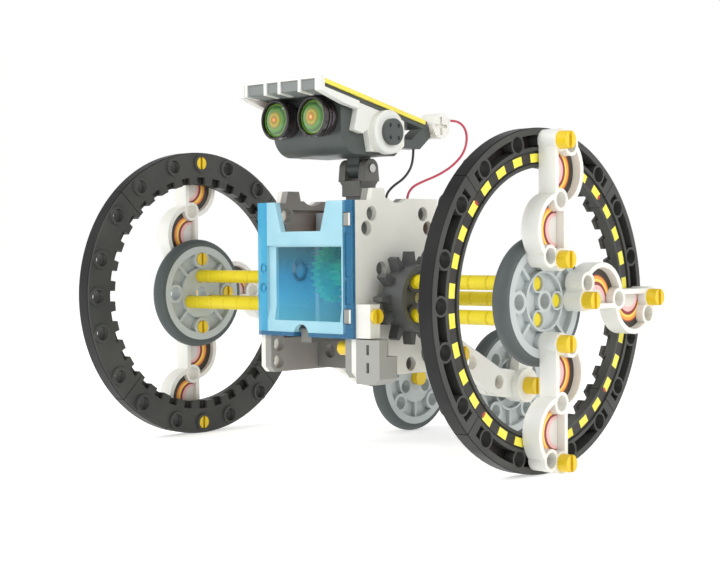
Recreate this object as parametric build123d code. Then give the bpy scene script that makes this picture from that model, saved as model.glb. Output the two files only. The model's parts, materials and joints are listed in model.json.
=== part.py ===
"""Two-wheel robot car: a snap-together construction-kit robot.

Millimetres. Each function makes one kind of piece, in a working frame with its origin at the centre
of the wheel axle: X runs along the axle, the robot faces -Y and +Z is up. save() moves every piece to
the part's own frame, with the origin on the floor under the middle of the robot.
"""
from build123d import *
import os
from math import atan2, cos, degrees, hypot, pi, radians, sin, sqrt, tan

# ---- driving dimensions -------------------------------------------------------------------
RING_R = 55.0            # big wheel, outer radius
RING_BORE_R = 42.5       # tips of the ring's internal teeth
RING_FACE_X = 86.0       # outer face of the ring, from the robot's middle
RING_T = 5.7             # ring and hub thickness
RING_TEETH = 36
PEG_HOLE_D = 5.0         # every open hole of the kit
PEG_SHANK_D = 4.9
PEG_HOLE_R = 50.8        # circle of the ring's peg holes
HUB_HOLE_R = 13.3        # circle of the hub's outer holes
TUBE_CIRCLE_R = 6.6      # circle of the three drive tubes
HUB_RIM_R = 18.3
HUB_POCKET = 1.6         # depth of the pockets round the hub's centre bosses
TYRE_R = 21.0
ARM_T = 6.5              # S-shaped arm, thickness
PANEL_IN, PANEL_OUT = 18.3, 23.3     # side panel, inner and outer faces
BODY_FRONT = -22.6       # front face of the blue cover
PANEL_FRONT, PANEL_BACK = -21.3, 21.0
SHAFT_R = 2.0
RUNNING_GAP = 0.05       # radial clearance of a running fit
CASTER_Y = 59.4
CASTER_X_IN = 20.7       # inner face of a caster wheel
TILT_Y, TILT_Z = 5.2, 45.6           # axis of the head's hinge
WIRE_D = 0.9
ROOF_Z0, ROOF_SLOPE = 65.3, -0.2246  # middle plane of the solar panel: z = Z0 + SLOPE * y

# gear train, module and teeth
MODULE = 0.8
AXLE_TEETH, IDLER_PINION_TEETH, IDLER_WHEEL_TEETH, MOTOR_TEETH = 22, 10, 24, 8
IDLER_Y = -9.4
IDLER_AXLE_DIST = MODULE * (AXLE_TEETH + IDLER_PINION_TEETH) / 2
IDLER_Z = sqrt(IDLER_AXLE_DIST ** 2 - IDLER_Y ** 2)
MOTOR_DIST = MODULE * (IDLER_WHEEL_TEETH + MOTOR_TEETH) / 2
MOTOR_Y = IDLER_Y + MOTOR_DIST * cos(radians(10))
MOTOR_Z = IDLER_Z + MOTOR_DIST * sin(radians(10))

HOLE_R = PEG_HOLE_D / 2
PEG_R = PEG_SHANK_D / 2
RING_IN_X = RING_FACE_X - RING_T
CASTER_Z = TYRE_R - RING_R
MIDDLE_Y = (CASTER_Y + TYRE_R - RING_R) / 2      # halfway from the front of the rings to the back


# wires: open ends at the head, feet in the deck's sleeves
SOCKET_R = 1.6
SOCKET_TOP = 30.8
NOZZLE_R = 1.2
RED_ROUTE = ((15.0, 37.0, 63.44), (15.0, 42.6, 64.2), (15.0, 48.2, 60.4), (15.0, 47.2, 53.2),
             (15.0, 40.6, 47.6), (15.0, 31.8, 43.6), (15.0, 22.6, 40.9), (15.0, 17.0, 38.9),
             (15.0, 14.0, 35.4), (15.0, 14.0, SOCKET_TOP))
BLACK_ROUTE = ((12.0, 21.2, 52.6), (12.0, 21.2, 47.6), (12.0, 16.6, 42.2), (12.0, 9.6, 38.9),
               (12.0, 6.0, 35.4), (12.0, 6.0, SOCKET_TOP))
WIRE_FEET = (RED_ROUTE[-1][:2], BLACK_ROUTE[-1][:2])


# ---- helpers ------------------------------------------------------------------------------
FROM_BASE = (Align.CENTER, Align.CENTER, Align.MIN)


def box(x0, x1, y0, y1, z0, z1):
    """Box between the given planes."""
    return Pos((x0 + x1) / 2, (y0 + y1) / 2, (z0 + z1) / 2) * Box(x1 - x0, y1 - y0, z1 - z0)


def xcyl(r, x0, x1, y=0.0, z=0.0):
    """Cylinder along X from x0 to x1."""
    return Pos(x0, y, z) * Rot(0, 90, 0) * Cylinder(r, x1 - x0, align=FROM_BASE)


def ycyl(r, y0, y1, x=0.0, z=0.0):
    """Cylinder along Y from y0 to y1."""
    return Pos(x, y0, z) * Rot(-90, 0, 0) * Cylinder(r, y1 - y0, align=FROM_BASE)


def zcyl(r, z0, z1, x=0.0, y=0.0):
    """Cylinder along Z from z0 to z1."""
    return Pos(x, y, z0) * Cylinder(r, z1 - z0, align=FROM_BASE)


def xtube(r_out, r_in, x0, x1, y=0.0, z=0.0):
    """Ring along X."""
    return xcyl(r_out, x0, x1, y, z) - xcyl(r_in, x0 - 1, x1 + 1, y, z)


def xprism(points, x0, x1):
    """Outline in (y, z), extruded along X."""
    return extrude(Plane.YZ.offset(x0) * Polygon(*points, align=None), x1 - x0, dir=(1, 0, 0))


def stadium(p, q, r, x0, x1):
    """Bar with round ends between two points in (y, z), extruded along X."""
    along = (q[0] - p[0], q[1] - p[1])
    length = hypot(*along)
    side = (-along[1] / length * r, along[0] / length * r)
    bar = xprism([(p[0] + side[0], p[1] + side[1]), (q[0] + side[0], q[1] + side[1]),
                  (q[0] - side[0], q[1] - side[1]), (p[0] - side[0], p[1] - side[1])], x0, x1)
    return bar + xcyl(r, x0, x1, *p) + xcyl(r, x0, x1, *q)


def at_angle(r, degrees):
    """Point (y, z) on a circle round the X axis; 90 degrees is up."""
    return r * cos(radians(degrees)), r * sin(radians(degrees))


def turn_x(shape, degrees):
    return Rot(degrees, 0, 0) * shape


def mirror_x(shape):
    return mirror(shape, about=Plane.YZ)


def solids_of(shape):
    return list(shape.solids())


def save(name, *shapes):
    """One STEP file per node, with each loose piece as its own solid."""
    pieces = [solid for shape in shapes for solid in solids_of(shape)]
    pieces = [Pos(0, -MIDDLE_Y, RING_R) * piece for piece in pieces]
    node = pieces[0] if len(pieces) == 1 else Compound(children=pieces)
    node.label = name
    export_step(node, f"parts/{name}.step")


def save_pair(name, shape):
    """Right-hand piece and its mirror image."""
    save(name + "_right", shape)
    save(name + "_left", mirror_x(shape))


def gear(teeth, module, x0, x1, y=0.0, z=0.0, phase=0.0, slim=0.80, depth=1.25):
    """Spur gear along X with straight-flanked teeth; phase turns the first tooth from +Y."""
    pitch_r = module * teeth / 2
    tip_r = pitch_r + module
    root_r = pitch_r - depth * module
    half_pitch = 180 / teeth / 2 * slim
    half_root = half_pitch + (pitch_r - root_r) * 0.18 / pitch_r * 180 / pi
    half_tip = half_pitch - module * 0.42 / pitch_r * 180 / pi
    outline = []
    for tooth in range(teeth):
        middle = phase + 360 / teeth * tooth
        corners = ((root_r, -half_root), (tip_r, -half_tip), (tip_r, half_tip), (root_r, half_root))
        for radius, offset in corners:
            outline.append(at_angle(radius, middle + offset))
    return Pos(0, y, z) * xprism(outline, x0, x1)


# ---- big ring wheels ----------------------------------------------------------------------
RING_HOLE_ANGLES = (-36.2, -15.6, 0.0, 15.6, 36.2)
SEAM_ANGLE = 0.15        # half of the gap between two ring segments


def swept_ring(r_in, r_out, x0, x1, half_angle):
    """Ring sector about the X axis, centred on +Y."""
    section = Polygon((x0, r_in), (x1, r_in), (x1, r_out), (x0, r_out), align=None)
    return turn_x(revolve(section, Axis.X, 2 * half_angle), -half_angle)


def ring_segment():
    """Quarter of a ring: tread, cell band, track channel, internal teeth and peg holes."""
    half = 45 - SEAM_ANGLE
    face, back = RING_FACE_X, RING_IN_X
    rear_face_bevel = 0.6
    section = Polygon((back, RING_BORE_R), (face, RING_BORE_R), (face, RING_R - 0.3),
                      (face - 0.3, RING_R), (back + rear_face_bevel, RING_R),
                      (back, RING_R - rear_face_bevel), align=None)
    body = turn_x(revolve(section, Axis.X, 2 * half), -half)
    body -= swept_ring(48.9, 52.7, face - 3.8, face + 1, 41.6)
    body -= swept_ring(43.6, 47.7, face - 0.7, face + 1, 46)
    for angle in RING_HOLE_ANGLES:
        y, z = at_angle(PEG_HOLE_R, angle)
        body += xcyl(3.2, back, face, y, z)
        body += xcyl(3.5, back - 0.7, back, y, z)
    for angle in RING_HOLE_ANGLES:
        body -= xcyl(HOLE_R, back - 2, face + 2, *at_angle(PEG_HOLE_R, angle))
    gap = box(back - 1, back + 3.0, RING_BORE_R - 1.5, 45.3, -1.95, 1.95)
    pitch = 360 / RING_TEETH
    for step in range(-4, 5):
        body -= turn_x(gap, step * pitch)
    return body


def track_decal():
    """Printed strip in the ring's channel."""
    return xtube(47.2, 43.8, RING_FACE_X - 0.7, RING_FACE_X - 0.45)


# ---- small wheels -------------------------------------------------------------------------
def small_wheel(face_x, tube_phase, bore_r=HOLE_R):
    """Spoked wheel whose outer face is at face_x; used as drive hub and as caster."""
    back = face_x - RING_T
    wheel = xtube(HUB_RIM_R, 15.5, back, face_x)
    wheel += xcyl(16.0, back + 2.2, back + 3.6)
    wheel += xcyl(9.8, back + 0.6, face_x)
    for k in range(4):
        y, z = at_angle(HUB_HOLE_R, 90 * k)
        wheel += xcyl(3.7, back, face_x, y, z)
        wheel += turn_x(box(back + 0.6, face_x - 0.6, 9.0, 16.0, -0.6, 0.6), 45 + 90 * k)
    pocket = xtube(8.9, 3.7, face_x - HUB_POCKET, face_x + 1)
    for k in range(3):
        pocket -= xcyl(3.1, face_x - 3, face_x + 2, *at_angle(TUBE_CIRCLE_R, tube_phase + 120 * k))
    wheel -= pocket
    for k in range(4):
        wheel -= xcyl(HOLE_R, back - 1, face_x + 1, *at_angle(HUB_HOLE_R, 90 * k))
    for k in range(3):
        wheel -= xcyl(HOLE_R, back - 1, face_x + 1, *at_angle(TUBE_CIRCLE_R, tube_phase + 120 * k))
    return wheel - xcyl(bore_r, back - 1, face_x + 1)


def small_tyre(face_x):
    """Rubber tyre with a round crown."""
    back = face_x - RING_T
    middle = (back + face_x) / 2
    shoulder = TYRE_R - 1.3
    line = Line((back, shoulder), (back, HUB_RIM_R))
    line += Line((back, HUB_RIM_R), (face_x, HUB_RIM_R))
    line += Line((face_x, HUB_RIM_R), (face_x, shoulder))
    line += ThreePointArc((face_x, shoulder), (middle, TYRE_R), (back, shoulder))
    return revolve(make_face(line), Axis.X, 360)


# ---- S-shaped arms ------------------------------------------------------------------------
ARM_ANGLES = (90, 0, -90)
ARM_NAMES = {90: "top", 0: "rear", -90: "bottom"}
ARM_IN_R, ARM_MID_R, ARM_OUT_R = HUB_HOLE_R, (HUB_HOLE_R + PEG_HOLE_R) / 2, PEG_HOLE_R
LOOP_R = 11.7
LOOP_WALL = 1.7
CHORD_Y = -3.0           # straight side of a loop, before it is turned


def loop_outline(centre_z, side, inset, x0, x1):
    """D-shaped plate: a disc cut by a chord; side +1 bulges to +Y."""
    disc = xcyl(LOOP_R - inset, x0, x1, 0.4 * side, centre_z)
    keep = box(x0, x1, min(side * (CHORD_Y + inset), side * 20), max(side * (CHORD_Y + inset), side * 20),
               centre_z - 20, centre_z + 20)
    return disc & keep


ARM_LOOPS = (((ARM_IN_R + ARM_MID_R) / 2, -1), ((ARM_MID_R + ARM_OUT_R) / 2, 1))
EXTRA_HOLES = ((-5.6, ARM_IN_R + 1.1), (5.6, ARM_OUT_R - 1.2))


def spoke_arm():
    """Right-hand top arm: two opposed D loops with recessed webs and five peg holes."""
    x0, x1 = RING_FACE_X, RING_FACE_X + ARM_T
    arm = None
    for centre_z, side in ARM_LOOPS:
        loop = loop_outline(centre_z, side, 0, x0, x1)
        loop -= loop_outline(centre_z, side, LOOP_WALL, x0 + 3.6, x1 + 1)
        loop -= loop_outline(centre_z, side, LOOP_WALL, x0 - 1, x0 + 1.6)
        arm = loop if arm is None else arm + loop
    centres = [(0, ARM_IN_R), (0, ARM_MID_R), (0, ARM_OUT_R)] + list(EXTRA_HOLES)
    for y, z in centres:
        arm += xcyl(3.6, x0, x1, y, z)
    for y, z in centres:
        arm -= xcyl(HOLE_R, x0 - 1, x1 + 1, y, z)
    return arm


def arm_decals():
    """Thin printed labels on the webs of one arm."""
    labels = []
    web_x = RING_FACE_X + 3.6
    for centre_z, side in ARM_LOOPS:
        label = loop_outline(centre_z, side, LOOP_WALL + 0.25, web_x, web_x + 0.2)
        for y, z in [(0, ARM_IN_R), (0, ARM_MID_R), (0, ARM_OUT_R)] + list(EXTRA_HOLES):
            label -= xcyl(3.8, web_x - 1, web_x + 1, y, z)
        labels.append(max(solids_of(label), key=lambda solid: solid.volume))
    return Compound(children=labels)


def peg(x_tip, x_seat, head_t, y, z, head_r=3.2):
    """Snap peg along X: shank from x_tip to x_seat, notched head beyond."""
    body = xcyl(PEG_R, x_tip, x_seat, y, z) + xcyl(head_r, x_seat, x_seat + head_t, y, z)
    body -= box(x_seat + head_t - 1.3, x_seat + head_t + 1, y - 0.7, y + 0.7, z - 5, z + 5)
    body -= box(x_tip - 1, x_tip + 3.0, y - 0.5, y + 0.5, z - 5, z + 5)
    return body


def wheel_pegs():
    """Six pegs that hold the three arms of the right wheel."""
    pegs = []
    for angle in ARM_ANGLES:
        for radius in (ARM_IN_R, ARM_OUT_R):
            y, z = at_angle(radius, angle)
            pegs.append(peg(RING_IN_X - 0.5, RING_FACE_X + ARM_T, 3.7, y, z, head_r=2.85))
    return pegs


# ---- drive line ---------------------------------------------------------------------------
OUT_GEAR_X0, OUT_GEAR_X1 = 26.3, 30.3
FLANGE_X1 = 35.4
TUBE_PITCH = 7.45
TUBE_X0 = 29.2
TUBE_JOINT_X = 36.65
BLUNT_TEETH = 12


def output_gear(tube_phase):
    """Blunt-toothed gear with the flange that carries the three tubes."""
    module = 32 / (BLUNT_TEETH + 2)
    body = gear(BLUNT_TEETH, module, OUT_GEAR_X0, OUT_GEAR_X1, slim=0.88, depth=1.12)
    body += xcyl(11.5, OUT_GEAR_X0, FLANGE_X1)
    body += xcyl(4.5, PANEL_OUT + 0.5, OUT_GEAR_X0)
    body -= xcyl(9.6, FLANGE_X1 - 2.8, FLANGE_X1 + 1)
    for k in range(3):
        body += xcyl(3.6, OUT_GEAR_X1, FLANGE_X1 - 1.2, *at_angle(TUBE_CIRCLE_R, tube_phase + 120 * k))
    for k in range(3):
        body -= xcyl(HOLE_R, TUBE_X0, FLANGE_X1 + 1, *at_angle(TUBE_CIRCLE_R, tube_phase + 120 * k))
    return body - xcyl(SHAFT_R, 20, 40)


def tube_segments(tube_phase):
    """Three yellow tubes, each a row of push-fit segments from gear to hub."""
    ends = [TUBE_X0] + [TUBE_JOINT_X + k * TUBE_PITCH for k in range(6)] + [RING_FACE_X - 0.8]
    edge = 0.35
    pieces = []
    for k in range(3):
        y, z = at_angle(TUBE_CIRCLE_R, tube_phase + 120 * k)
        for x0, x1 in zip(ends, ends[1:]):
            segment = xcyl(PEG_R, x0, x1, y, z)
            segment = chamfer(segment.edges().filter_by(GeomType.CIRCLE), edge)
            pieces.append(segment)
    return pieces


def axle_shaft():
    half_length = FLANGE_X1 - 2.6
    return xcyl(SHAFT_R, -half_length, half_length)


AXLE_GEAR_X = (4.2, 8.0)
IDLER_WHEEL_X = (0.2, 3.2)
IDLER_PINION_X = (3.2, 8.4)
IDLER_PIN_R = 1.0
MOTOR_SHAFT_R = 1.0
TRAY_FLOOR, TRAY_REAR, DECK_UNDER = -11.0, 17.0, 20.5     # faces the bearing walls stand between
LEFT_WALL = (-3.2, -1.4)
RIGHT_WALL = (9.4, 11.2)


def axle_gear():
    """Gear fixed on the axle inside the gearbox."""
    body = gear(AXLE_TEETH, MODULE, *AXLE_GEAR_X, phase=AXLE_PHASE)
    body += xcyl(3.4, AXLE_GEAR_X[0] - 0.6, AXLE_GEAR_X[0])
    return body - xcyl(SHAFT_R, -5, 12)


def idler_gear():
    """Green compound gear: large wheel to the motor, small pinion to the axle gear."""
    body = gear(IDLER_WHEEL_TEETH, MODULE, *IDLER_WHEEL_X, IDLER_Y, IDLER_Z, IDLER_WHEEL_PHASE)
    body += gear(IDLER_PINION_TEETH, MODULE, *IDLER_PINION_X, IDLER_Y, IDLER_Z, IDLER_PINION_PHASE)
    for k in range(6):
        y, z = at_angle(6.4, 30 + 60 * k)
        body -= xcyl(1.4, -1, 4, IDLER_Y + y, IDLER_Z + z)
    return body - xcyl(IDLER_PIN_R + RUNNING_GAP, -5, 12, IDLER_Y, IDLER_Z)


def bearing_angle(y0, z0, y1, z1):
    """Direction from one axis to another, in degrees."""
    return degrees(atan2(z1 - z0, y1 - y0))


# A tooth of one gear points at its partner, and a gap of the partner points back.
TO_AXLE = bearing_angle(IDLER_Y, IDLER_Z, 0, 0)
TO_MOTOR = bearing_angle(IDLER_Y, IDLER_Z, MOTOR_Y, MOTOR_Z)
IDLER_PINION_PHASE = TO_AXLE
AXLE_PHASE = TO_AXLE + 180 + 180 / AXLE_TEETH
IDLER_WHEEL_PHASE = TO_MOTOR
MOTOR_PHASE = TO_MOTOR + 180 + 180 / MOTOR_TEETH
MOTOR_X0, MOTOR_X1 = -18.0, LEFT_WALL[0]
MOTOR_R = 7.3


def motor_pinion():
    body = gear(MOTOR_TEETH, MODULE, 0.0, 3.4, MOTOR_Y, MOTOR_Z, MOTOR_PHASE)
    return body - xcyl(MOTOR_SHAFT_R, -1, 4, MOTOR_Y, MOTOR_Z)


def motor_shaft():
    return xcyl(MOTOR_SHAFT_R, MOTOR_X0 + 0.4, 3.4, MOTOR_Y, MOTOR_Z)


def motor_armature():
    return xtube(5.6, MOTOR_SHAFT_R, MOTOR_X0 + 2.5, MOTOR_X1 - 2.0, MOTOR_Y, MOTOR_Z)


def motor_can():
    """Small motor: flat-sided steel can, hollow, with a bearing bore."""
    can = xcyl(MOTOR_R, MOTOR_X0, MOTOR_X1, MOTOR_Y, MOTOR_Z)
    flat = 6.2
    can &= box(MOTOR_X0, MOTOR_X1, MOTOR_Y - 10, MOTOR_Y + 10, MOTOR_Z - flat, MOTOR_Z + flat)
    can -= xcyl(6.0, MOTOR_X0 + 1.6, MOTOR_X1 - 1.4, MOTOR_Y, MOTOR_Z)
    return can - xcyl(MOTOR_SHAFT_R + RUNNING_GAP, MOTOR_X0 + 0.2, MOTOR_X1 + 1, MOTOR_Y, MOTOR_Z)


# ---- body ---------------------------------------------------------------------------------
PANEL_BOTTOM = -26.6
PANEL_TOP = 34.3
PANEL_HOLES = ((-13.2, 29.0), (13.2, 29.0), (-15.8, 24.0), (15.8, 24.0), (-8.5, 10.1),
               (8.5, 10.1), (6.4, -23.2), (-17.5, -16.8), (-17.5, -22.8), (18.0, -20.0))
BLOCK_X1 = 30.0
BLOCK_PEG = (-18.7, -5.6)
CLIP_Z = ((24.9, 29.2), (-8.1, -3.4))


def side_panel(with_block):
    """Right-hand side panel: ear, round notch and peg holes; clip tabs and front block if asked."""
    outline = [(PANEL_FRONT, PANEL_BOTTOM + 2), (PANEL_FRONT, 33.5), (-13.6, 33.5), (-12.4, 37.7),
               (-6.9, 37.7), (-6.0, PANEL_TOP), (PANEL_BACK, PANEL_TOP), (PANEL_BACK, PANEL_BOTTOM + 4),
               (PANEL_BACK - 4, PANEL_BOTTOM), (PANEL_FRONT + 2, PANEL_BOTTOM)]
    panel = xprism(outline, PANEL_IN, PANEL_OUT)
    panel -= xcyl(7.0, PANEL_IN - 1, PANEL_OUT + 1, 0.0, 39.7)
    panel -= box(PANEL_IN - 1, PANEL_OUT - 2.4, PANEL_FRONT + 2.5, PANEL_BACK - 2.5,
                 PANEL_BOTTOM + 12, PANEL_TOP - 3.3)
    for y, z in PANEL_HOLES:
        boss = xcyl(3.6, PANEL_IN, PANEL_OUT, y, z)
        panel += boss & box(PANEL_IN, PANEL_OUT, PANEL_FRONT, PANEL_BACK, PANEL_BOTTOM, PANEL_TOP)
    panel += xcyl(4.2, PANEL_IN, PANEL_OUT)
    if with_block:
        panel += box(PANEL_OUT - 0.5, BLOCK_X1, PANEL_FRONT, -16.6, -13.0, -1.6)
        for z0, z1 in CLIP_Z:
            panel += box(18.9, 22.0, BODY_FRONT + 0.15, PANEL_FRONT + 0.5, z0, z1)
        panel -= xcyl(PEG_R, PANEL_IN - 1, BLOCK_X1 + 1, *BLOCK_PEG)
    for y, z in PANEL_HOLES:
        panel -= xcyl(HOLE_R, PANEL_IN - 1, PANEL_OUT + 1, y, z)
    return panel - xcyl(SHAFT_R + RUNNING_GAP, PANEL_IN - 1, PANEL_OUT + 1)


def gearbox_cover():
    """Translucent blue front cover with its notch, window, bar, clip windows and round boss."""
    back_thin, back_thick = PANEL_FRONT - 0.05, -20.4
    inner_x = PANEL_IN - 0.2
    cover = box(-PANEL_OUT, PANEL_OUT, BODY_FRONT, back_thin, -13.3, 33.5)
    cover += box(-inner_x, inner_x, BODY_FRONT, back_thick, -13.3, 33.5)
    cover += box(-inner_x, inner_x, BODY_FRONT, -17.8, 18.3, 23.2)
    cover += box(-inner_x, inner_x, BODY_FRONT, -18.4, -13.3, -11.4)
    cover -= box(-18.6, 18.0, BODY_FRONT - 1, BODY_FRONT + 1.0, -3.0, 18.2)
    sill = [(BODY_FRONT - 0.5, -3.0), (BODY_FRONT + 1.0, -3.0), (BODY_FRONT - 0.01, -8.2),
            (BODY_FRONT - 0.5, -8.2)]
    cover -= xprism(sill, -18.6, 18.0)
    notch = Polygon((-14.6, 34.5), (-11.4, 23.2), (8.0, 23.2), (11.2, 34.5), align=None)
    cover -= extrude(Plane.XZ.offset(-BODY_FRONT + 2) * notch, 8, dir=(0, 1, 0))
    cover -= ycyl(3.6, BODY_FRONT - 1, -17, -1.8, -12.6)
    for z0, z1 in CLIP_Z:
        cover -= box(18.65, 22.25, BODY_FRONT - 1, -21, z0 - 0.25, z1 + 0.25)
    for z0, z1 in ((-1.8, 6.4), (7.6, 22.6)):
        cover -= box(19.4, 22.2, BODY_FRONT - 1, BODY_FRONT + 0.5, z0, z1)
    boss_y = BODY_FRONT + 0.3
    boss = ycyl(3.5, boss_y, BODY_FRONT + 1.3, -3.2, 9.5)
    cover += boss - ycyl(2.5, boss_y - 1, BODY_FRONT + 1.0, -3.2, 9.5)
    for z in (10.4, 3.4):
        cover -= ycyl(1.7, BODY_FRONT - 1, BODY_FRONT + 0.5, -20.4, z) - ycyl(0.9, BODY_FRONT, -21, -20.4, z)
    return cover


def gearbox_tray():
    """Dark inner frame: an L of floor and rear wall, and the stepped deck on top of it."""
    inner_x = PANEL_IN - 0.1
    tray = box(-inner_x, inner_x, -18.2, 19, -13.1, TRAY_FLOOR)
    tray += box(-inner_x, inner_x, TRAY_REAR, 19, -13.1, 28)
    deck = box(-inner_x, inner_x, -17.5, 3.5, DECK_UNDER, 22.5)
    deck += box(-inner_x, inner_x, 1.5, 3.5, DECK_UNDER, 30)
    deck += box(-inner_x, inner_x, 1.5, 19, 28, 30)
    deck -= zcyl(NECK_STUB_R, 27, 31, 0, NECK_Y + 0.6)
    for x, y in WIRE_FEET:
        deck -= zcyl(SOCKET_R, 27, 31, x, y)
    return [tray, deck]


def bearing_walls():
    """Two upright walls in the tray that carry the axle, the idler's pin and the motor's nose."""
    walls = []
    for wall_x, front in ((LEFT_WALL, -14.0), (RIGHT_WALL, -13.0)):
        wall = box(*wall_x, front, TRAY_REAR, TRAY_FLOOR, DECK_UNDER)
        wall -= xcyl(SHAFT_R + 0.15, -4, 12)
        wall -= xcyl(IDLER_PIN_R, -4, 12, IDLER_Y, IDLER_Z)
        walls.append(wall - xcyl(MOTOR_SHAFT_R + 0.8, -4, 0, MOTOR_Y, MOTOR_Z))
    return walls


def idler_pin():
    return xcyl(IDLER_PIN_R, LEFT_WALL[0], RIGHT_WALL[1], IDLER_Y, IDLER_Z)


def lower_frame():
    """Grey cross frame under the gearbox, between the side panels."""
    inner_x = PANEL_IN - 0.1
    frame = box(-inner_x, inner_x, 2.0, 20.0, PANEL_BOTTOM + 0.6, -13.2)
    frame -= box(-inner_x + 2.5, inner_x - 2.5, 4.5, 21.0, PANEL_BOTTOM - 1, -15.6)
    for x in (-12.0, 0.0, 12.0):
        frame -= ycyl(HOLE_R, 0, 6, x, -20.0)
    frame += box(-4.4, 0.8, -20.0, 3.0, -15.4, -13.2)
    return frame + box(-4.4, 0.8, -20.0, -18.5, -15.4, -10.6)


def foot_block():
    """Grey stepped block at the lower front corner of the right side panel."""
    block = box(PANEL_OUT, 30.0, PANEL_FRONT, -12.6, -28.4, -13.4)
    block += box(PANEL_OUT, 34.0, PANEL_FRONT, -12.6, -28.4, -19.0)
    block += box(PANEL_OUT, 34.0, PANEL_FRONT, -17.6, -28.4, -13.4)
    bottom_edges = block.edges().filter_by(Axis.Y).group_by(Axis.Z)[0].sort_by(Axis.X)
    block = chamfer(bottom_edges[-1], 2.0)
    for z in (-16.8, -22.8):
        block -= xcyl(PEG_R, 20, 27.0, -17.5, z)
        block -= box(28.0, 29.2, -25, -18.5, z - 1.7, z + 1.7)
    return block


LEG_HOLES = ((11.1, -15.5), (26.4, -23.5), (41.7, -31.5))
LEG_PEG = (18.0, -20.0)
LEG_X0, LEG_X1 = 31.0, 34.5


def leg_beam():
    """Off-white three-hole beam that runs back to the caster, with a lug to the panel."""
    beam = stadium(LEG_HOLES[0], LEG_HOLES[2], 4.7, LEG_X0, LEG_X1)
    beam += box(PANEL_OUT, LEG_X0 + 0.5, LEG_PEG[0] - 2.9, PANEL_BACK, LEG_PEG[1] - 4.0, LEG_PEG[1] + 4.0)
    beam += xcyl(3.6, PANEL_OUT, LEG_X1, *LEG_PEG)
    for hole in LEG_HOLES:
        beam -= xcyl(HOLE_R, LEG_X0 - 1, LEG_X1 + 1, *hole)
    return beam - xcyl(PEG_R, 20, 40, *LEG_PEG)


AXLE_BLOCK_X0, AXLE_BLOCK_X1 = 27.0, 34.0


def axle_block():
    """Plate under the end of the beam, with the boss that holds the caster's pin."""
    axle = (CASTER_Y, CASTER_Z)
    block = stadium(LEG_HOLES[2], axle, 5.2, 28.0, LEG_X0)
    block += xcyl(6.3, AXLE_BLOCK_X0, AXLE_BLOCK_X1, *axle)
    block += stadium(axle, (CASTER_Y + 1.5, CASTER_Z + 7.5), 4.2, 28.0, 32.0)
    return block - xcyl(PEG_R, 20, 40, *axle)


def caster_axle():
    """Yellow pin of a caster: shank through the wheel, tip inside, head outside."""
    y, z = CASTER_Y, CASTER_Z
    pin = xcyl(PEG_R, CASTER_X_IN - 0.6, AXLE_BLOCK_X1, y, z)
    pin += xcyl(3.2, AXLE_BLOCK_X1, AXLE_BLOCK_X1 + 4.4, y, z)
    pin += xcyl(2.9, CASTER_X_IN - 2.4, CASTER_X_IN - 0.6, y, z)
    return pin - box(AXLE_BLOCK_X1 + 3.1, AXLE_BLOCK_X1 + 5, y - 0.7, y + 0.7, z - 5, z + 5)


def leg_peg():
    """Peg that holds the right leg to its panel."""
    return peg(PANEL_IN + 0.1, LEG_X1, 3.4, *LEG_PEG, head_r=2.9)


def block_pegs():
    """Peg of the right panel's front block, and the pin that carries the foot block."""
    return [peg(PANEL_OUT - 4, BLOCK_X1, 1.2, *BLOCK_PEG, head_r=2.6), xcyl(PEG_R, 13.0, 27.0, -17.5, -16.8)]


# ---- neck and head ------------------------------------------------------------------------
NECK_Y = TILT_Y
NECK_STUB_R = 2.0
LUG_HALF = 3.0
TILT_PIN_R = 1.5
HEAD_HALF = 16.5
HEAD_BOTTOM = 49.4
FACE_Y = -20.8
EYE_X, EYE_Z = 9.05, 61.8
EYE_FRONT = -27.6
EYE_R = 6.2               # barrel; the rim in front is wider
EYE_RIM_R = 6.9
LENS_R = 6.1


def roof(y, below=0.0):
    """Height of the solar panel's middle plane, less a distance."""
    return ROOF_Z0 + ROOF_SLOPE * y - below


def neck_post():
    """Grey neck: stub in the deck, square block, taper and two hinge cheeks."""
    y0, y1 = NECK_Y - 4.2, NECK_Y + 4.2
    post = box(-3.4, 3.4, NECK_Y - 3.2, y1 - 0.4, 30.0, 36.0)
    post += box(-4.3, 4.3, y0, y1, 35.6, 41.2)
    post += zcyl(NECK_STUB_R, 28.0, 30.5, 0, NECK_Y + 0.6)
    for side in (-1, 1):
        x0, x1 = sorted((side * (LUG_HALF + 0.3), side * 6.4))
        cheek = xprism([(NECK_Y - 3.4, TILT_Z), (NECK_Y - 3.9, 41.0), (NECK_Y + 3.9, 41.0),
                        (NECK_Y + 3.4, TILT_Z)], x0, x1)
        post += cheek + xcyl(3.4, x0, x1, TILT_Y, TILT_Z)
        foot = Plane.XZ.offset(3.4 - NECK_Y) * Polygon((side * 3.3, 38.6), (side * 4.3, 38.6),
                                                       (side * 6.4, 41.2), (side * 3.3, 41.2), align=None)
        post += extrude(foot, 6.8, dir=(0, 1, 0))
    return post - xcyl(TILT_PIN_R, -10, 10, TILT_Y, TILT_Z)


def neck_pin():
    return xcyl(TILT_PIN_R, -6.9, 6.9, TILT_Y, TILT_Z)


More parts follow.
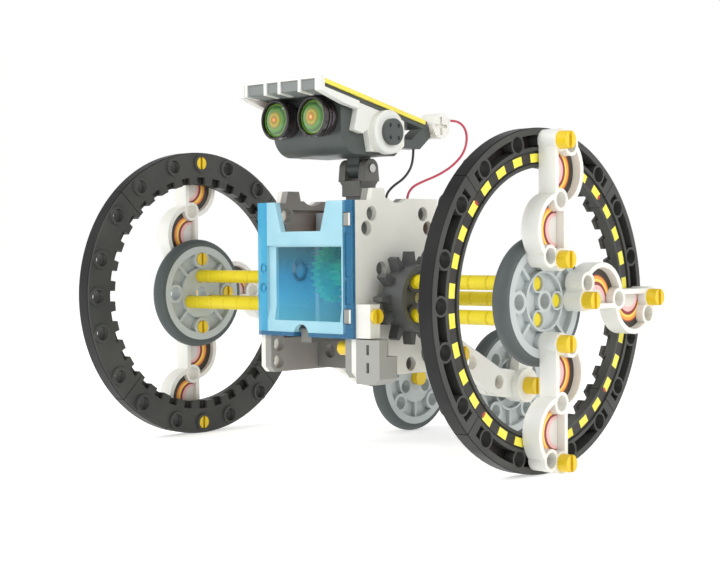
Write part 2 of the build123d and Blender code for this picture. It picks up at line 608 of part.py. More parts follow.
def head_shell():
    """Hollow head: rounded jaw, flat face, top under the solar panel, and the hinge lug."""
    def profile(inset):
        front, bottom, back = FACE_Y + inset, HEAD_BOTTOM + inset, 9.0 - inset
        jaw_r = 8.0 - inset
        line = Line((front, roof(front, 1.6 + inset)), (back, roof(back, 1.6 + inset)))
        line += Line((back, roof(back, 1.6 + inset)), (back, bottom + 2))
        line += Line((back, bottom + 2), (back - 3, bottom))
        line += Line((back - 3, bottom), (front + jaw_r, bottom))
        nearest = jaw_r * (1 - sin(pi / 4))
        line += ThreePointArc((front + jaw_r, bottom), (front + nearest, bottom + nearest),
                              (front, bottom + jaw_r))
        line += Line((front, bottom + jaw_r), (front, roof(front, 1.6 + inset)))
        return make_face(line)
    wall = 1.8
    shell = extrude(Plane.YZ.offset(-HEAD_HALF) * profile(0), 2 * HEAD_HALF, dir=(1, 0, 0))
    shell -= extrude(Plane.YZ.offset(wall - HEAD_HALF) * profile(wall), 2 * (HEAD_HALF - wall), dir=(1, 0, 0))
    shell += box(-LUG_HALF, LUG_HALF, TILT_Y - 3.0, TILT_Y + 3.0, TILT_Z, HEAD_BOTTOM + 1.0)
    shell += xcyl(3.3, -LUG_HALF, LUG_HALF, TILT_Y, TILT_Z)
    return shell - xcyl(TILT_PIN_R + RUNNING_GAP, -10, 10, TILT_Y, TILT_Z)


PANEL_HALF = 19.5
SOLAR_FRONT, SOLAR_BACK = -32.0, 19.4
VISOR_HALF = 20.2
VISOR_NOSE, VISOR_TIP, VISOR_LIP, VISOR_INNER = -34.0, -33.4, -26.6, -24.6
VISOR_UNDER = 69.1       # underside of the brim over the eyes
VISOR_BACK = -15.4
LIP_BACK = SOLAR_FRONT - 0.05        # rear face of the upright lip, against the solar panel's edge
WING_IN = 17.4
RIB_X = (-16.4, -6.7, 0.2, 10.0)


def visor():
    """Brim over the eyes: a thin wedge with an upright front lip."""
    wedge = [(VISOR_TIP, roof(VISOR_TIP, -1.2)), (VISOR_TIP, roof(VISOR_TIP, 2.6)), (VISOR_LIP, VISOR_UNDER),
             (VISOR_INNER, VISOR_UNDER), (VISOR_INNER, roof(VISOR_INNER, 1.6)),
             (LIP_BACK, roof(LIP_BACK, 1.6)), (LIP_BACK, roof(LIP_BACK, -1.2))]
    return xprism(wedge, -WING_IN, WING_IN)


def visor_trim():
    """Off-white side plates of the brim, its top edge and the ribs under its lip."""
    nose_top, nose_under = roof(VISOR_NOSE, -1.6), roof(VISOR_NOSE, 3.2)
    side = [(VISOR_NOSE, nose_top), (VISOR_NOSE, nose_under), (-22.7, 66.0), (-19.1, 65.2),
            (VISOR_BACK, 64.5), (VISOR_BACK, roof(VISOR_BACK, 1.6)), (LIP_BACK, roof(LIP_BACK, 1.6)),
            (LIP_BACK, roof(LIP_BACK, -1.6))]
    edge = [(VISOR_NOSE, nose_top), (VISOR_NOSE, nose_top - 0.8), (VISOR_TIP, nose_top - 0.8),
            (VISOR_TIP, roof(VISOR_TIP, -1.2)), (LIP_BACK, roof(LIP_BACK, -1.2)),
            (LIP_BACK, roof(LIP_BACK, -1.6))]
    under = roof(VISOR_TIP, 2.6)
    end, slope = -27.8, (VISOR_UNDER - under) / (VISOR_LIP - VISOR_TIP)
    end_z = under + slope * (end - VISOR_TIP)
    rib = [(VISOR_NOSE, nose_top - 0.4), (VISOR_NOSE, under - 0.5), (end, end_z - 0.35), (end, end_z),
           (VISOR_TIP, under), (VISOR_TIP, nose_top - 0.4)]
    trim = xprism(edge, -WING_IN, WING_IN)
    for x in RIB_X:
        trim += xprism(rib, x - 0.7, x + 0.7)
    for x0, x1 in ((-VISOR_HALF, -WING_IN), (WING_IN, VISOR_HALF)):
        trim += xprism(side, x0, x1)
    return trim


def eye_barrels():
    """Two goggle barrels with a front rim and a seat for the lens."""
    barrels = []
    for side in (-1, 1):
        x = side * EYE_X
        barrel = ycyl(EYE_R, EYE_FRONT + 1.0, FACE_Y, x, EYE_Z)
        rim = ycyl(EYE_RIM_R, EYE_FRONT, EYE_FRONT + 1.9, x, EYE_Z)
        barrel += chamfer(rim.edges().filter_by(GeomType.CIRCLE), 0.3)
        for step in (2.6, 4.0):
            barrel += ycyl(EYE_R + 0.35, EYE_FRONT + step, EYE_FRONT + step + 0.8, x, EYE_Z)
        barrels.append(barrel - ycyl(LENS_R + 0.05, EYE_FRONT - 1, EYE_FRONT + 3.2, x, EYE_Z))
    return barrels


def eye_lenses():
    """Domed lenses sunk in the barrels."""
    lenses = []
    for side in (-1, 1):
        x = side * EYE_X
        dome = Pos(x, EYE_FRONT + 14.2, EYE_Z) * Sphere(14.4)
        dome &= ycyl(LENS_R, EYE_FRONT - 1, EYE_FRONT + 1.9, x, EYE_Z)
        lenses.append(dome + ycyl(LENS_R, EYE_FRONT + 1.7, EYE_FRONT + 3.2, x, EYE_Z))
    return lenses


def head_cheek():
    """White plate on the right side of the head, behind the brim."""
    x0, x1 = HEAD_HALF, HEAD_HALF + 2.4
    outline = [(-14.4, roof(-14.4, 1.7)), (-16.8, 57.4), (-12.5, 56.4), (-10.2, 57.8), (-8.6, 50.4),
               (5.5, 50.4), (8.6, 53.0), (8.6, roof(8.6, 1.7))]
    return xprism(outline, x0, x1)


DISC_Y, DISC_Z = -1.7, 57.2
DISC_X0 = HEAD_HALF + 2.4


def side_disc():
    """Round white ear cover with a raised dark cap seat."""
    disc = xcyl(7.6, DISC_X0, 22.0, DISC_Y, DISC_Z)
    return chamfer(disc.edges().filter_by(GeomType.CIRCLE).sort_by(Axis.X)[-1], 0.5)


def side_cap():
    """Dark cap with four dimples on the ear cover."""
    cap = xcyl(4.6, 22.0, 23.7, DISC_Y, DISC_Z)
    for k in range(4):
        y, z = at_angle(3.0, 45 + 90 * k)
        cap -= xcyl(0.7, 23.2, 24, DISC_Y + y, DISC_Z + z)
    return cap


def solar_slab(y0, y1, above0, above1, half):
    """Sloped slab parallel to the roof plane."""
    return xprism([(y0, roof(y0) + above0), (y1, roof(y1) + above0), (y1, roof(y1) + above1),
                   (y0, roof(y0) + above1)], -half, half)


def solar_frame():
    """Yellow edged tray of the solar panel."""
    frame = solar_slab(SOLAR_FRONT, SOLAR_BACK, 0.0, 1.5, PANEL_HALF)
    return frame - solar_slab(SOLAR_FRONT + 1.6, SOLAR_BACK - 1.6, 0.7, 2.5, PANEL_HALF - 1.6)


def solar_cells():
    return solar_slab(SOLAR_FRONT + 1.7, SOLAR_BACK - 1.7, 0.7, 1.25, PANEL_HALF - 1.7)


def solar_base():
    """Dark backing plate under the tray."""
    return solar_slab(SOLAR_FRONT + 0.05, SOLAR_BACK - 0.2, -1.55, 0.0, PANEL_HALF - 0.7)


ARM_PLATE_X = (9.0, 14.5)
ARM_UNDER = 52.6
CAP_Y, CAP_Z, CAP_R = 31.5, 61.3, 4.6


def rear_arm():
    """Dark bracket behind the head that carries the connector cap."""
    outline = [(9.0, ARM_UNDER), (22.0, ARM_UNDER), (28.0, 57.3), (25.8, 62.8), (23.4, 60.3),
               (17.4, 55.8), (9.0, 55.8)]
    arm = xprism(outline, *ARM_PLATE_X)
    return arm - xcyl(CAP_R, 0, 20, CAP_Y, CAP_Z)


def connector_cap():
    """Round white connector with a cross slot and a rear nozzle for the red wire."""
    x0, x1 = 9.6, 16.5
    cap = xcyl(CAP_R, x0, x1, CAP_Y, CAP_Z)
    cap -= box(x1 - 1.0, x1 + 1, CAP_Y - 3.2, CAP_Y + 3.2, CAP_Z - 0.55, CAP_Z + 0.55)
    cap -= box(x1 - 1.0, x1 + 1, CAP_Y - 0.55, CAP_Y + 0.55, CAP_Z - 3.2, CAP_Z + 3.2)
    start, after = Vector(*RED_ROUTE[0]), Vector(*RED_ROUTE[1])
    inward = Plane(origin=start, z_dir=start - after)
    nozzle = inward * Cylinder(NOZZLE_R, 3.4, align=FROM_BASE)
    return cap + nozzle


# ---- wires --------------------------------------------------------------------------------
def bend_radii(route):
    """Arc radius at each inner point of a wire's route."""
    radii = []
    for before, at, after in zip(route, route[1:], route[2:]):
        arrive, leave = Vector(*at) - Vector(*before), Vector(*after) - Vector(*at)
        turn = arrive.get_angle(leave)
        radii.append(0.45 * min(arrive.length, leave.length) / tan(radians(turn / 2)))
    return radii


def wire(name, route):
    """Plain tube along a route of straight runs joined by tangent arcs."""
    radii = bend_radii(route)
    path = FilletPolyline(*route, radius=radii)
    start = Plane(origin=path @ 0, z_dir=path % 0)
    tube = sweep(start * Circle(WIRE_D / 2), path=path)
    section = pi * WIRE_D ** 2 / 4
    print(name, "length %.1f" % path.length, "volume ratio %.4f" % (tube.volume / (section * path.length)),
          "radii", [round(r, 1) for r in radii])
    return tube


def wire_sockets():
    """Small sleeves where the two wires enter the deck."""
    return [zcyl(SOCKET_R, 28.0, SOCKET_TOP, x, y) for x, y in WIRE_FEET]


# ---- write the nodes ----------------------------------------------------------------------
def write_wheels():
    quarter = ring_segment()
    right_ring = [turn_x(quarter, 90 * k) for k in range(4)]
    save("ring_right", *right_ring)
    save("ring_left", *[mirror_x(piece) for piece in right_ring])
    save("track_decals", track_decal(), mirror_x(track_decal()))
    tubes = []
    for name, phase, turn_z in (("right", 0, 0), ("left", 90, 180)):
        place = Rot(0, 0, turn_z)
        save("drive_hub_" + name, place * small_wheel(RING_FACE_X, phase))
        save("output_gear_" + name, place * output_gear(phase))
        tubes += [place * piece for piece in tube_segments(phase)]
    save("drive_tubes", *tubes)
    save("drive_tyres", small_tyre(RING_FACE_X), mirror_x(small_tyre(RING_FACE_X)))
    arm, labels = spoke_arm(), arm_decals()
    for angle in ARM_ANGLES:
        save_pair("spoke_arm_" + ARM_NAMES[angle], turn_x(arm, angle - 90))
    right_labels = [turn_x(labels, angle - 90) for angle in ARM_ANGLES]
    save("arm_decals", *right_labels, *[mirror_x(piece) for piece in right_labels])
    pegs = wheel_pegs()
    save("wheel_pegs", *pegs, *[mirror_x(piece) for piece in pegs])


def write_gearbox():
    save("axle_shaft", axle_shaft())
    save("axle_gear", axle_gear())
    save("idler_gear", idler_gear())
    save("idler_pin", idler_pin())
    save("motor_can", motor_can())
    save("motor_shaft", motor_shaft())
    save("motor_armature", motor_armature())
    save("motor_pinion", motor_pinion())
    save("gearbox_tray", *gearbox_tray())
    save("bearing_walls", *bearing_walls())
    save("gearbox_cover", gearbox_cover())
    save("side_panel_right", side_panel(True))
    save("side_panel_left", mirror_x(side_panel(False)))
    save("lower_frame", lower_frame())
    save("foot_block", foot_block())
    save("body_pegs", leg_peg(), mirror_x(leg_peg()), *block_pegs())


def write_casters():
    save_pair("leg_beam", leg_beam())
    save_pair("axle_block", axle_block())
    save("caster_axles", caster_axle(), mirror_x(caster_axle()))
    face = CASTER_X_IN + RING_T
    place = Pos(0, CASTER_Y, CASTER_Z)
    wheel = turn_x(small_wheel(face, 45, PEG_R + RUNNING_GAP), 45)
    save("caster_wheel_right", place * wheel)
    save("caster_wheel_left", place * Rot(0, 0, 180) * wheel)
    save_pair("caster_tyre", place * small_tyre(face))


def write_head():
    save("neck_post", neck_post())
    save("neck_pin", neck_pin())
    save("head_shell", head_shell())
    save("visor", visor())
    save("visor_trim", visor_trim())
    save("eye_barrels", *eye_barrels())
    save("eye_lenses", *eye_lenses())
    save("head_cheeks", head_cheek(), mirror_x(head_cheek()))
    save("side_discs", side_disc(), mirror_x(side_disc()))
    save("side_caps", side_cap(), mirror_x(side_cap()))
    save("solar_frame", solar_frame())
    save("solar_cells", solar_cells())
    save("solar_base", solar_base())
    save("rear_arm", rear_arm())
    save("connector_cap", connector_cap())
    save("wire_sockets", *wire_sockets())
    save("wire_red", wire("red wire", RED_ROUTE))
    save("wire_black", wire("black wire", BLACK_ROUTE))


os.makedirs("parts", exist_ok=True)
write_wheels()
write_gearbox()
write_casters()
write_head()
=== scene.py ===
"""Looks of the two-wheel robot car: plastics, prints, wires, studio floor, light and camera."""
import json
from math import pi, radians

import bpy
from mathutils import Matrix, Vector


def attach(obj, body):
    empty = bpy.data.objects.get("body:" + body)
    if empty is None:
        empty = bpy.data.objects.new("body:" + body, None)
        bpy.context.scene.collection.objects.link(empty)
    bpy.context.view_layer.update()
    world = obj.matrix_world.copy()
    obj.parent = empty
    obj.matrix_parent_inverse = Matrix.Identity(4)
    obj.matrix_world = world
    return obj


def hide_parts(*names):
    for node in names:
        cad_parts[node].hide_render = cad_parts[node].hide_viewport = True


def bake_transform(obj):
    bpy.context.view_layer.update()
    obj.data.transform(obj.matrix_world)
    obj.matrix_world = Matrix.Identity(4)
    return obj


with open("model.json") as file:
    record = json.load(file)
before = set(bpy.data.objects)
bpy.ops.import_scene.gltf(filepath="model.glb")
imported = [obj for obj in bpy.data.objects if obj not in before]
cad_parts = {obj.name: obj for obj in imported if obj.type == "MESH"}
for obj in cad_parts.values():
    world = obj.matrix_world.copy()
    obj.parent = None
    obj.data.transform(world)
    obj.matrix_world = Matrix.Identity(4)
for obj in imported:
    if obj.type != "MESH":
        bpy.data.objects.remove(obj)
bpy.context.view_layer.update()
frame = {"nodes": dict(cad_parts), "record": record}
nodes = frame["nodes"]

MM = 0.001
AXLE = (0.0, -0.0127, 0.055)               # centre of the wheel axle, in the part's frame

# ---- places and sizes, measured from the axle's centre, in metres unless they say mm ----------
CELL_FLOOR_X = (0.0815, 0.0825)            # depths between which a ring's cell floors lie, where painted shade goes
TREAD_R = 54.75 * MM                       # a ring is tread outside this radius
TRACK_R = (0.0438, 0.0472)                 # inner and outer radius of the printed strip
DASH_STEP, DASH_SHARE = 11.25, 0.50        # degrees from dash to dash, and the share that is yellow
DASH_MARGIN = 0.35 * MM                    # black left on each side of a dash
TICK_SHARE = (0.022, 0.036)                # where a red tick starts and ends in its quarter
TICK_R = (44.6 * MM, 46.2 * MM)
EYE_X, EYE_Z = 0.00905, 0.0618             # centre of a lens
LENS_R, LENS_WOBBLE = 6.2 * MM, 0.9 * MM   # size of its pattern, and how uneven its rings are
FINGER_STEP, FINGER_SHARE = 1.6 * MM, 0.09  # thin lines across the solar cells
BAR_STEP, BAR_SHARE = 8.9 * MM, 0.07       # bus bars along the solar cells
KEEP_POSITIVE = 1.0                        # added before a repeat, which must not meet a value below 0
WEB_MIDDLE_X = 0.0886                      # middle plane of an arm's web
WINDOW = (-0.0150, 0.0170, -0.0078, 0.0178)  # the cover's window: low x, high x, low z, high z
COVER_CORNER_X, COVER_LOW_Z = 0.0186, -0.0118  # the cover turns its corners past these
FRAME_ALPHA = 0.68                         # opacity of the cover round its window
WINDOW_ALPHA = (0.46, 0.2)                 # opacity of the window at its low and high x
BOSS = (-0.0032, 0.0095, 0.0024, 0.0036)    # x, z, inner and outer radius of the boss on the window
PANEL_INNER_X = 0.0212                     # a side panel's inner faces lie nearer the middle, and get grey painted shade
LOOP_CENTRES = ((-0.4, 22.675), (0.4, 41.425))   # y, z of the top arm's two loops, in mm
LOOP_SIDES = (-1, 1)                       # side to which each loop bulges
ARM_TURNS = (0, -90, -180)                 # turns about X of the top, rear and bottom arms
FLAME_BANDS = ((7.6, 0.0, "b8562c"), (7.2, 0.0, "f0a040"), (6.7, -0.4, "f8d060"),
               (6.0, -0.6, "8c2a2c"), (5.3, -1.0, "e6b8b4"), (4.4, -1.6, "d8d4ce"))  # radius, shift in mm
WIRE_D = 0.0009
WIRE_ORDER, WIRE_STEPS, WIRE_SIDES = 3, 12, 4    # smoothness along and round a wire
NOISE_LOW, NOISE_HIGH = 0.3, 0.7           # span of a noise that shows
BUMP_STRENGTH = 0.35
GLOSS_SCALE, GLOSS_DETAIL = 140, 4         # noise that makes a gloss uneven
STREAK_SCALE = 3000.0                      # fine streaks on turned metal
RED_ROUTE = ((15.0, 37.0, 63.44), (15.0, 42.6, 64.2), (15.0, 48.2, 60.4), (15.0, 47.2, 53.2),
             (15.0, 40.6, 47.6), (15.0, 31.8, 43.6), (15.0, 22.6, 40.9), (15.0, 17.0, 38.9),
             (15.0, 14.0, 35.4), (15.0, 14.0, 30.8))
BLACK_ROUTE = ((12.0, 21.2, 52.6), (12.0, 21.2, 47.6), (12.0, 16.6, 42.2), (12.0, 9.6, 38.9),
               (12.0, 6.0, 35.4), (12.0, 6.0, 30.8))   # both routes in mm, from the head down

# ---- camera and studio ------------------------------------------------------------------------
CAMERA_AT = (0.375285, -0.390336, 0.018052)
CAMERA_RIGHT, CAMERA_UP = (0.72574, 0.68793, -0.007585), (-0.012013, 0.023696, 0.999647)
SENSOR, LENS = 36.0, 76.0                  # mm
CLIP = (0.01, 50.0)
FLOOR_HALF = 6.0                           # half the side of the floor
FLOOR_GLOW = 0.5
SKY = ((0.25, 1.0), (0.7, 0.42))           # height and grey: white low down, greyer overhead
LIGHTS = (("key", (-0.2, -0.9, 0.9), 0.45, 7.0),
          ("side", (0.9, 0.0, 0.6), 0.5, 3.5))   # name, place in the part's frame, size, watts


# ---- camera ---------------------------------------------------------------------------------
def make_camera():
    """Camera at the photograph's viewing angle."""
    right, up = Vector(CAMERA_RIGHT), Vector(CAMERA_UP)
    data = bpy.data.cameras.new("camera")
    data.sensor_width, data.lens = SENSOR, LENS
    data.clip_start, data.clip_end = CLIP
    camera = bpy.data.objects.new("camera", data)
    turn = Matrix((right, up, right.cross(up))).transposed().to_4x4()
    camera.matrix_world = Matrix.Translation(Vector(CAMERA_AT) + Vector(AXLE)) @ turn
    bpy.context.scene.collection.objects.link(camera)
    bpy.context.scene.camera = camera


make_camera()


# ---- node helpers ---------------------------------------------------------------------------
class Shader:
    """A principled material under construction, with short calls for its nodes."""

    def __init__(self, name, **sockets):
        self.mat = bpy.data.materials.new(name)
        self.mat.use_nodes = True
        self.tree = self.mat.node_tree
        self.bsdf = self.tree.nodes["Principled BSDF"]
        for socket, value in sockets.items():
            self.bsdf.inputs[socket.replace("_", " ")].default_value = value
        point = self.add("ShaderNodeTexCoord").outputs["Object"]
        from_centre = self.add("ShaderNodeVectorMath", point, AXLE, operation="SUBTRACT")
        self.place = from_centre.outputs["Vector"]

    def add(self, kind, *inputs, **settings):
        """New node; inputs are links or constants for its sockets in order, None to skip."""
        node = self.tree.nodes.new(kind)
        for key, value in settings.items():
            setattr(node, key, value)
        for socket, value in zip(node.inputs, inputs):
            self.put(socket, value)
        return node

    def put(self, socket, value):
        if isinstance(value, bpy.types.NodeSocket):
            self.tree.links.new(value, socket)
        elif value is not None:
            socket.default_value = value

    def math(self, operation, *inputs):
        return self.add("ShaderNodeMath", *inputs, operation=operation).outputs[0]

    def noise(self, scale, detail=2.0):
        node = self.add("ShaderNodeTexNoise", noise_dimensions="3D")
        self.put(node.inputs["Vector"], self.place)
        self.put(node.inputs["Scale"], scale)
        self.put(node.inputs["Detail"], detail)
        return node.outputs["Fac"]

    def ramp(self, value, stops):
        """Colour ramp; stops are (position, colour)."""
        node = self.add("ShaderNodeValToRGB", value)
        ramp = node.color_ramp
        while len(ramp.elements) < len(stops):
            ramp.elements.new(1.0)
        for element, (position, colour) in zip(ramp.elements, stops):
            element.position, element.color = position, (*colour, 1.0)
        return node.outputs["Color"]

    def cloudy(self, value, first, second):
        """Colour that drifts between two, as a noise does."""
        return self.ramp(value, ((NOISE_LOW, first), (NOISE_HIGH, second)))

    def scaled(self, value, low, high, to_low=0.0, to_high=1.0):
        return self.add("ShaderNodeMapRange", value, low, high, to_low, to_high).outputs[0]

    def mix(self, factor, first, second):
        node = self.add("ShaderNodeMix", data_type="RGBA")
        for index, value in ((0, factor), (6, first), (7, second)):   # the sockets for colours
            self.put(node.inputs[index], value)
        return node.outputs[2]

    def axes(self):
        """x, y, z of the point, from the axle's centre."""
        return self.add("ShaderNodeSeparateXYZ", self.place).outputs

    def between(self, value, low, high):
        above, below = self.math("GREATER_THAN", value, low), self.math("LESS_THAN", value, high)
        return self.math("MULTIPLY", above, below)

    def length(self, a, b):
        """Length of the diagonal of a and b."""
        return self.math("SQRT", self.math("ADD", self.math("POWER", a, 2.0),
                                           self.math("POWER", b, 2.0)))

    def repeat(self, value, step):
        """0 to 1 over each step."""
        return self.math("FRACT", self.math("DIVIDE", value, step))

    def grain(self, depth=0.02 * MM, scale=2200, edge=0.25 * MM, rough=(0.38, 0.5)):
        """Moulded skin: fine bump, softly rounded edges and uneven gloss."""
        bevel = self.add("ShaderNodeBevel", edge, samples=4)
        bump = self.add("ShaderNodeBump")
        for name, value in (("Strength", BUMP_STRENGTH), ("Distance", depth),
                            ("Height", self.noise(scale)), ("Normal", bevel.outputs[0])):
            self.put(bump.inputs[name], value)
        self.put(self.bsdf.inputs["Normal"], bump.outputs[0])
        gloss = self.noise(GLOSS_SCALE, GLOSS_DETAIL)
        self.put(self.bsdf.inputs["Roughness"], self.scaled(gloss, NOISE_LOW, NOISE_HIGH, *rough))

    def colour(self, value):
        self.put(self.bsdf.inputs["Base Color"], value)


def rgb(code):
    """Linear colour of a hex code."""
    return tuple(((int(code[i:i + 2], 16) / 255 + 0.055) / 1.055) ** 2.4 for i in (0, 2, 4))


def opaque(code):
    """Colour of a hex code with full alpha, as a mix node takes it."""
    return (*rgb(code), 1.0)


def shade(colour, factor):
    return tuple(min(1.0, channel * factor) for channel in colour)


def moulded(name, code, vary=0.07, rough=(0.38, 0.5), scale=45, **sockets):
    """Plain moulded plastic: slight clouding in the colour, moulding grain, soft edges."""
    shader = Shader(name, **sockets)
    base = rgb(code)
    shader.colour(shader.cloudy(shader.noise(scale, 5), shade(base, 1 - vary), shade(base, 1 + vary)))
    shader.grain(rough=rough)
    return shader


# ---- printed and moulded patterns -----------------------------------------------------------
def ring_shader():
    """Ring: black tread, grey face, near-black painted shade on the floors of the cells round the peg
    holes.
    """
    shader = Shader("ring_plastic", Specular_IOR_Level=0.3)
    x, y, z = shader.axes()
    cloud = shader.noise(60, 5)
    face = shader.cloudy(cloud, rgb("393a38"), rgb("464743"))
    # painted shade: near-black on the recessed cell floors
    cell = shader.cloudy(cloud, rgb("1c1817"), rgb("2a2422"))
    tread = shader.cloudy(cloud, rgb("0c0c0c"), rgb("181818"))
    in_shaded_cell = shader.between(shader.math("ABSOLUTE", x), *CELL_FLOOR_X)
    on_tread = shader.math("GREATER_THAN", shader.length(y, z), TREAD_R)
    shader.colour(shader.mix(on_tread, shader.mix(in_shaded_cell, face, cell), tread))
    shader.grain(rough=(0.36, 0.5))
    return shader


def track_shader():
    """Black strip with yellow dashes, and small red ticks at the ring's seams."""
    shader = Shader("track_print")
    _, y, z = shader.axes()
    radius = shader.length(y, z)
    degrees = shader.math("MULTIPLY", shader.math("ARCTAN2", z, y), 180 / pi)
    turned = shader.math("ADD", degrees, 360.0)
    dash = shader.repeat(turned, DASH_STEP)
    low, high = (1 - DASH_SHARE) / 2, (1 + DASH_SHARE) / 2
    yellow = shader.math("MULTIPLY", shader.between(dash, low, high),
                         shader.between(radius, TRACK_R[0] + DASH_MARGIN, TRACK_R[1] - DASH_MARGIN))
    seam = shader.repeat(shader.math("ADD", turned, 45.0), 90.0)
    red = shader.math("MULTIPLY", shader.between(seam, *TICK_SHARE), shader.between(radius, *TICK_R))
    cloud = shader.noise(300, 4)
    black = shader.cloudy(cloud, rgb("171511"), rgb("262219"))
    paint = shader.cloudy(cloud, rgb("e6d838"), rgb("f4ea5c"))
    shader.colour(shader.mix(red, shader.mix(yellow, black, paint), opaque("b5342c")))
    shader.grain(depth=0.01 * MM, rough=(0.3, 0.42))
    return shader


def loop_points(shift):
    """Centres of the six arm loops, moved by shift towards the bulge, in metres."""
    points = []
    for turn in ARM_TURNS:
        for (y, z), side in zip(LOOP_CENTRES, LOOP_SIDES):
            spot = Matrix.Rotation(radians(turn), 3, "X") @ Vector((0, y + side * shift, z))
            points.append(spot * MM)
    return points


def flame_shader():
    """Label in a loop: black, then orange, yellow and dark red crescents round a pink middle."""
    shader = Shader("arm_print")
    _, y, z = shader.axes()
    flat = shader.add("ShaderNodeCombineXYZ", 0.0, y, z).outputs[0]

    def inside(radius_mm, shift):
        """1 within radius of the nearest loop centre, after the shift."""
        nearest = None
        for point in loop_points(shift):
            node = shader.add("ShaderNodeVectorMath", flat, tuple(point), operation="DISTANCE")
            distance = node.outputs["Value"]
            nearest = distance if nearest is None else shader.math("MINIMUM", nearest, distance)
        return shader.math("LESS_THAN", nearest, radius_mm * MM)

    cloud = shader.noise(400, 4)
    colour = shader.cloudy(cloud, rgb("2b2620"), rgb("3a3228"))
    for radius_mm, shift, code in FLAME_BANDS:
        colour = shader.mix(inside(radius_mm, shift), colour, opaque(code))
    shader.colour(colour)
    shader.grain(depth=0.01 * MM, rough=(0.3, 0.45))
    return shader


def lens_shader():
    """Goggle lens: a painted highlight in pale and orange at the centre, then amber, green and dark
    rings, under a clear coat.
    """
    shader = Shader("eye_lens", Coat_Weight=1.0, Coat_Roughness=0.03, Roughness=0.12)
    x, _, z = shader.axes()
    side = shader.math("SUBTRACT", shader.math("ABSOLUTE", x), EYE_X)
    rise = shader.math("SUBTRACT", z, EYE_Z)
    wobble = shader.math("MULTIPLY", shader.math("SUBTRACT", shader.noise(260, 3), 0.5), LENS_WOBBLE)
    share = shader.scaled(shader.math("ADD", shader.length(side, rise), wobble), 0.0, LENS_R)
    # the first two stops, pale and orange at the very centre, are a painted highlight
    shader.colour(shader.ramp(share, (
        (0.0, rgb("ffe2a0")), (0.07, rgb("e08428")), (0.18, rgb("8c6a1c")), (0.32, rgb("a89a24")),
        (0.46, rgb("6a6a1a")), (0.58, rgb("4a8a20")), (0.76, rgb("1f4a18")), (0.88, rgb("6a9a30")),
        (0.97, rgb("141e10")))))
    return shader


def solar_shader():
    """Dark blue cells with thin silver fingers and bus bars."""
    shader = Shader("solar_cells", Coat_Weight=1.0, Coat_Roughness=0.05, Roughness=0.3)
    x, y, _ = shader.axes()
    finger = shader.repeat(shader.math("ADD", y, KEEP_POSITIVE), FINGER_STEP)
    bar = shader.repeat(shader.math("ADD", x, KEEP_POSITIVE), BAR_STEP)
    line = shader.math("MAXIMUM", shader.math("LESS_THAN", finger, FINGER_SHARE),
                       shader.math("LESS_THAN", bar, BAR_SHARE))
    cell = shader.cloudy(shader.noise(220, 6), rgb("0d1230"), rgb("1c2a58"))
    shader.colour(shader.mix(line, cell, opaque("9a9fa6")))
    return shader


def cover_shader():
    """Translucent blue: clear teal window, paler low down as a painted highlight, in a milky frame, deep
    blue at the right and low edges.
    """
    shader = Shader("cover_plastic", IOR=1.4, Coat_Weight=0.6, Coat_Roughness=0.05)
    x, _, z = shader.axes()
    cloud = shader.noise(60, 4)
    low_x, high_x, low_z, high_z = WINDOW
    window = shader.math("MULTIPLY", shader.between(x, low_x, high_x), shader.between(z, low_z, high_z))
    boss_x, boss_z, boss_in, boss_out = BOSS
    boss_r = shader.length(shader.math("SUBTRACT", x, boss_x), shader.math("SUBTRACT", z, boss_z))
    edge = shader.math("MAXIMUM", shader.math("GREATER_THAN", x, COVER_CORNER_X),
                       shader.math("MAXIMUM", shader.math("LESS_THAN", z, COVER_LOW_Z),
                                   shader.between(boss_r, boss_in, boss_out)))
    column = shader.math("LESS_THAN", x, -COVER_CORNER_X)
    milky = shader.cloudy(cloud, rgb("a2d8e8"), rgb("b8e6f2"))
    deep = shader.cloudy(cloud, rgb("00618c"), rgb("00719c"))
    bright = shader.cloudy(cloud, rgb("2aa0cc"), rgb("40b4dc"))
    # window teal: pale painted highlight at the bottom, teal-grey towards the top
    teal = shader.ramp(shader.scaled(z, low_z, high_z), (
        (0.0, rgb("56c0dc")), (0.35, rgb("34aede")), (0.62, rgb("2096c8")), (0.85, rgb("2a7c94")),
        (1.0, rgb("307488"))))
    shader.colour(shader.mix(edge, shader.mix(column, shader.mix(window, milky, teal), bright), deep))
    see_through = shader.scaled(x, low_x, high_x, *WINDOW_ALPHA)
    over_frame = shader.math("SUBTRACT", see_through, FRAME_ALPHA)
    shader.put(shader.bsdf.inputs["Alpha"],
               shader.math("MULTIPLY_ADD", window, over_frame, FRAME_ALPHA))
    shader.grain(depth=0.008 * MM, edge=0.35 * MM, rough=(0.1, 0.22))
    return shader


def panel_shader():
    """Side panel: off-white, with grey painted shade on its inner faces."""
    shader = Shader("panel_plastic", Subsurface_Weight=0.05)
    across = shader.math("ABSOLUTE", shader.axes()[0])
    cloud = shader.noise(45, 5)
    outside = shader.cloudy(cloud, rgb("dcdad1"), rgb("e8e6de"))
    # painted shade: the inner faces in grey
    inside = shader.cloudy(cloud, rgb("8a8a85"), rgb("979790"))
    shader.colour(shader.mix(shader.math("LESS_THAN", across, PANEL_INNER_X), outside, inside))
    shader.grain(rough=(0.34, 0.46))
    return shader


def steel_shader(name, code):
    """Drawn or turned metal with fine streaks along the axle."""
    shader = Shader(name, Metallic=1.0)
    base = rgb(code)
    streak = shader.add("ShaderNodeMapping", shader.place)
    streak.inputs["Scale"].default_value = (0.05, 1.0, 1.0)
    noise = shader.add("ShaderNodeTexNoise")
    shader.put(noise.inputs["Vector"], streak.outputs[0])
    shader.put(noise.inputs["Scale"], STREAK_SCALE)
    grain = noise.outputs["Fac"]
    shader.colour(shader.cloudy(grain, shade(base, 0.85), shade(base, 1.1)))
    shader.put(shader.bsdf.inputs["Roughness"], shader.scaled(grain, NOISE_LOW, NOISE_HIGH, 0.2, 0.38))
    return shader


